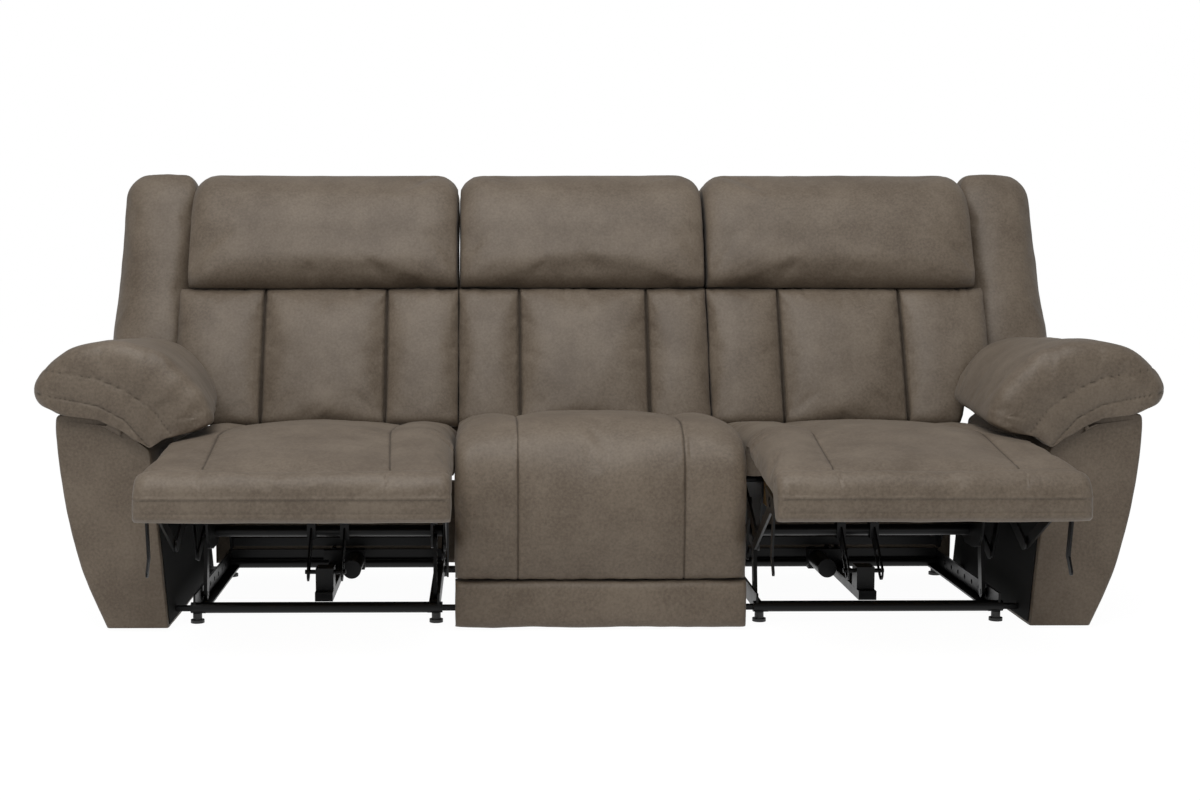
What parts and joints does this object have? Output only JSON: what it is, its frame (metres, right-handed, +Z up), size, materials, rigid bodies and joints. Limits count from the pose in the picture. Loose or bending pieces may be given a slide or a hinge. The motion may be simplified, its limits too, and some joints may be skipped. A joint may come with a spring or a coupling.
{
  "type": "three-seat reclining sofa",
  "caption": "Three-seat reclining sofa in taupe leather: outer seats with power legrests and reclining backs, fixed middle seat, pillow-top arms, padded wings",
  "frame": {"origin": "on the floor under the middle of the footprint, between the tips of the open legrests and the rear of the backs", "axes": "+X to the sofa's right as seen from the front, +Y towards the back, +Z up; a sitter faces -Y"},
  "size_m": [2.41, 1.4045, 1.0109],
  "materials": {
    "leather_upholstery": "satin",
    "timber": "matte",
    "black_steel": "satin",
    "zinc_spring_wire": "satin",
    "black_plastic": "matte",
    "black_dust_cloth": "matte"
  },
  "bodies": {
    "base": {"base_frames": "black_steel", "floor_glides": "black_plastic", "arm_frames": "timber", "arm_cover_left": "leather_upholstery", "arm_cover_right": "leather_upholstery", "arm_pillow_left": "leather_upholstery", "arm_pillow_right": "leather_upholstery", "arm_dust_panels": "black_dust_cloth", "switch_plates": "black_plastic", "rear_valances": "leather_upholstery", "centre_back_cover": "leather_upholstery", "centre_back_cushion": "leather_upholstery", "centre_back_frame": "timber", "centre_head_pillow": "leather_upholstery", "centre_kick_band": "leather_upholstery", "centre_seat_frame": "timber", "centre_seat_pad": "leather_upholstery", "centre_seat_springs": "zinc_spring_wire"},
    "seat_right": {"seat_frame_right": "timber", "seat_springs_right": "zinc_spring_wire", "seat_cushion_right": "leather_upholstery", "side_plates_right": "black_steel", "drive_unit_right": "black_steel"},
    "carriage_right": {"drive_carriage_right": "black_steel"},
    "tube_right": {"torque_tube_right": "black_steel"},
    "drive_link_right": {"drive_links_right": "black_steel"},
    "rear_arm_right": {"rear_arms_right": "black_steel"},
    "front_link_right": {"front_links_right": "black_steel"},
    "swing_right": {"swing_links_right": "black_steel"},
    "legrest_right": {"legrest_board_right": "timber", "legrest_pad_right": "leather_upholstery", "legrest_brackets_right": "black_steel"},
    "back_right": {"back_frame_right": "timber", "back_cushion_right": "leather_upholstery", "head_pillow_right": "leather_upholstery", "back_cover_right": "leather_upholstery", "wing_right": "leather_upholstery"},
    "open_switch_right": {"open_button_right": "black_plastic"},
    "close_switch_right": {"close_button_right": "black_plastic"},
    "seat_left": {"seat_frame_left": "timber", "seat_springs_left": "zinc_spring_wire", "seat_cushion_left": "leather_upholstery", "side_plates_left": "black_steel", "drive_unit_left": "black_steel"},
    "carriage_left": {"drive_carriage_left": "black_steel"},
    "tube_left": {"torque_tube_left": "black_steel"},
    "drive_link_left": {"drive_links_left": "black_steel"},
    "rear_arm_left": {"rear_arms_left": "black_steel"},
    "front_link_left": {"front_links_left": "black_steel"},
    "swing_left": {"swing_links_left": "black_steel"},
    "legrest_left": {"legrest_board_left": "timber", "legrest_pad_left": "leather_upholstery", "legrest_brackets_left": "black_steel"},
    "back_left": {"back_frame_left": "timber", "back_cushion_left": "leather_upholstery", "head_pillow_left": "leather_upholstery", "back_cover_left": "leather_upholstery", "wing_left": "leather_upholstery"},
    "open_switch_left": {"open_button_left": "black_plastic"},
    "close_switch_left": {"close_button_left": "black_plastic"}
  },
  "joints": [
    {"name": "recline_right", "type": "hinge", "parent": "seat_right", "child": "back_right", "pos_m": [0.618, 0.33975, 0.33], "axis": [-1, 0, 0], "range_deg": [0, 30]},
    {"name": "seat_glide_right", "type": "slide", "parent": "base", "child": "seat_right", "axis": [0, -1, 0], "range_m": [0, 0.04]},
    {"name": "swing_turn_right", "type": "hinge", "parent": "base", "child": "swing_right", "pos_m": [0.618, -0.11825, 0.045], "axis": [1, 0, 0], "range_deg": [0, 19]},
    {"name": "legrest_turn_right", "type": "hinge", "parent": "seat_right", "child": "legrest_right", "pos_m": [0.618, -0.31125, 0.412], "axis": [1, 0, 0], "range_deg": [0, 83]},
    {"name": "rear_arm_turn_right", "type": "hinge", "parent": "seat_right", "child": "rear_arm_right", "pos_m": [0.618, -0.09325, 0.3], "axis": [1, 0, 0], "range_deg": [0, 84.53]},
    {"name": "tube_turn_right", "type": "hinge", "parent": "seat_right", "child": "tube_right", "pos_m": [0.618, -0.02325, 0.172], "axis": [1, 0, 0], "range_deg": [0, 84.53]},
    {"name": "drive_link_turn_right", "type": "hinge", "parent": "tube_right", "child": "drive_link_right", "pos_m": [0.618, -0.10966, 0.13253], "axis": [1, 0, 0], "range_deg": [-84.53, 0]},
    {"name": "front_link_turn_right", "type": "hinge", "parent": "rear_arm_right", "child": "front_link_right", "pos_m": [0.618, -0.32974, 0.19197], "axis": [1, 0, 0], "range_deg": [-78.97, 0]},
    {"name": "carriage_slide_right", "type": "slide", "parent": "seat_right", "child": "carriage_right", "axis": [0, 1, 0], "range_m": [0, 0.14434]},
    {"name": "open_press_right", "type": "slide", "parent": "base", "child": "open_switch_right", "axis": [-1, 0, 0], "range_m": [0, 0.002], "stiffness_N_per_m": 400, "springref_m": -0.0005},
    {"name": "close_press_right", "type": "slide", "parent": "base", "child": "close_switch_right", "axis": [-1, 0, 0], "range_m": [0, 0.002], "stiffness_N_per_m": 400, "springref_m": -0.0005},
    {"name": "recline_left", "type": "hinge", "parent": "seat_left", "child": "back_left", "pos_m": [-0.618, 0.33975, 0.33], "axis": [-1, 0, 0], "range_deg": [0, 30]},
    {"name": "seat_glide_left", "type": "slide", "parent": "base", "child": "seat_left", "axis": [0, -1, 0], "range_m": [0, 0.04]},
    {"name": "swing_turn_left", "type": "hinge", "parent": "base", "child": "swing_left", "pos_m": [-0.618, -0.11825, 0.045], "axis": [1, 0, 0], "range_deg": [0, 19]},
    {"name": "legrest_turn_left", "type": "hinge", "parent": "seat_left", "child": "legrest_left", "pos_m": [-0.618, -0.31125, 0.412], "axis": [1, 0, 0], "range_deg": [0, 83]},
    {"name": "rear_arm_turn_left", "type": "hinge", "parent": "seat_left", "child": "rear_arm_left", "pos_m": [-0.618, -0.09325, 0.3], "axis": [1, 0, 0], "range_deg": [0, 84.53]},
    {"name": "tube_turn_left", "type": "hinge", "parent": "seat_left", "child": "tube_left", "pos_m": [-0.618, -0.02325, 0.172], "axis": [1, 0, 0], "range_deg": [0, 84.53]},
    {"name": "drive_link_turn_left", "type": "hinge", "parent": "tube_left", "child": "drive_link_left", "pos_m": [-0.618, -0.10966, 0.13253], "axis": [1, 0, 0], "range_deg": [-84.53, 0]},
    {"name": "front_link_turn_left", "type": "hinge", "parent": "rear_arm_left", "child": "front_link_left", "pos_m": [-0.618, -0.32974, 0.19197], "axis": [1, 0, 0], "range_deg": [-78.97, 0]},
    {"name": "carriage_slide_left", "type": "slide", "parent": "seat_left", "child": "carriage_left", "axis": [0, 1, 0], "range_m": [0, 0.14434]},
    {"name": "open_press_left", "type": "slide", "parent": "base", "child": "open_switch_left", "axis": [1, 0, 0], "range_m": [0, 0.002], "stiffness_N_per_m": 400, "springref_m": -0.0005},
    {"name": "close_press_left", "type": "slide", "parent": "base", "child": "close_switch_left", "axis": [1, 0, 0], "range_m": [0, 0.002], "stiffness_N_per_m": 400, "springref_m": -0.0005}
  ],
  "couplings": [
    {"joint": "seat_glide_right", "follows": "recline_right", "m_per_rad": 0.07638},
    {"joint": "swing_turn_right", "follows": "recline_right", "ratio": 0.629},
    {"joint": "rear_arm_turn_right", "follows": "legrest_turn_right", "ratio": 1.016},
    {"joint": "tube_turn_right", "follows": "legrest_turn_right", "ratio": 1.016},
    {"joint": "drive_link_turn_right", "follows": "legrest_turn_right", "ratio": -1.016},
    {"joint": "front_link_turn_right", "follows": "legrest_turn_right", "ratio": -0.949},
    {"joint": "carriage_slide_right", "follows": "legrest_turn_right", "m_per_rad": 0.0995},
    {"joint": "seat_glide_left", "follows": "recline_left", "m_per_rad": 0.07638},
    {"joint": "swing_turn_left", "follows": "recline_left", "ratio": 0.629},
    {"joint": "rear_arm_turn_left", "follows": "legrest_turn_left", "ratio": 1.016},
    {"joint": "tube_turn_left", "follows": "legrest_turn_left", "ratio": 1.016},
    {"joint": "drive_link_turn_left", "follows": "legrest_turn_left", "ratio": -1.016},
    {"joint": "front_link_turn_left", "follows": "legrest_turn_left", "ratio": -0.949},
    {"joint": "carriage_slide_left", "follows": "legrest_turn_left", "m_per_rad": 0.0995}
  ]
}
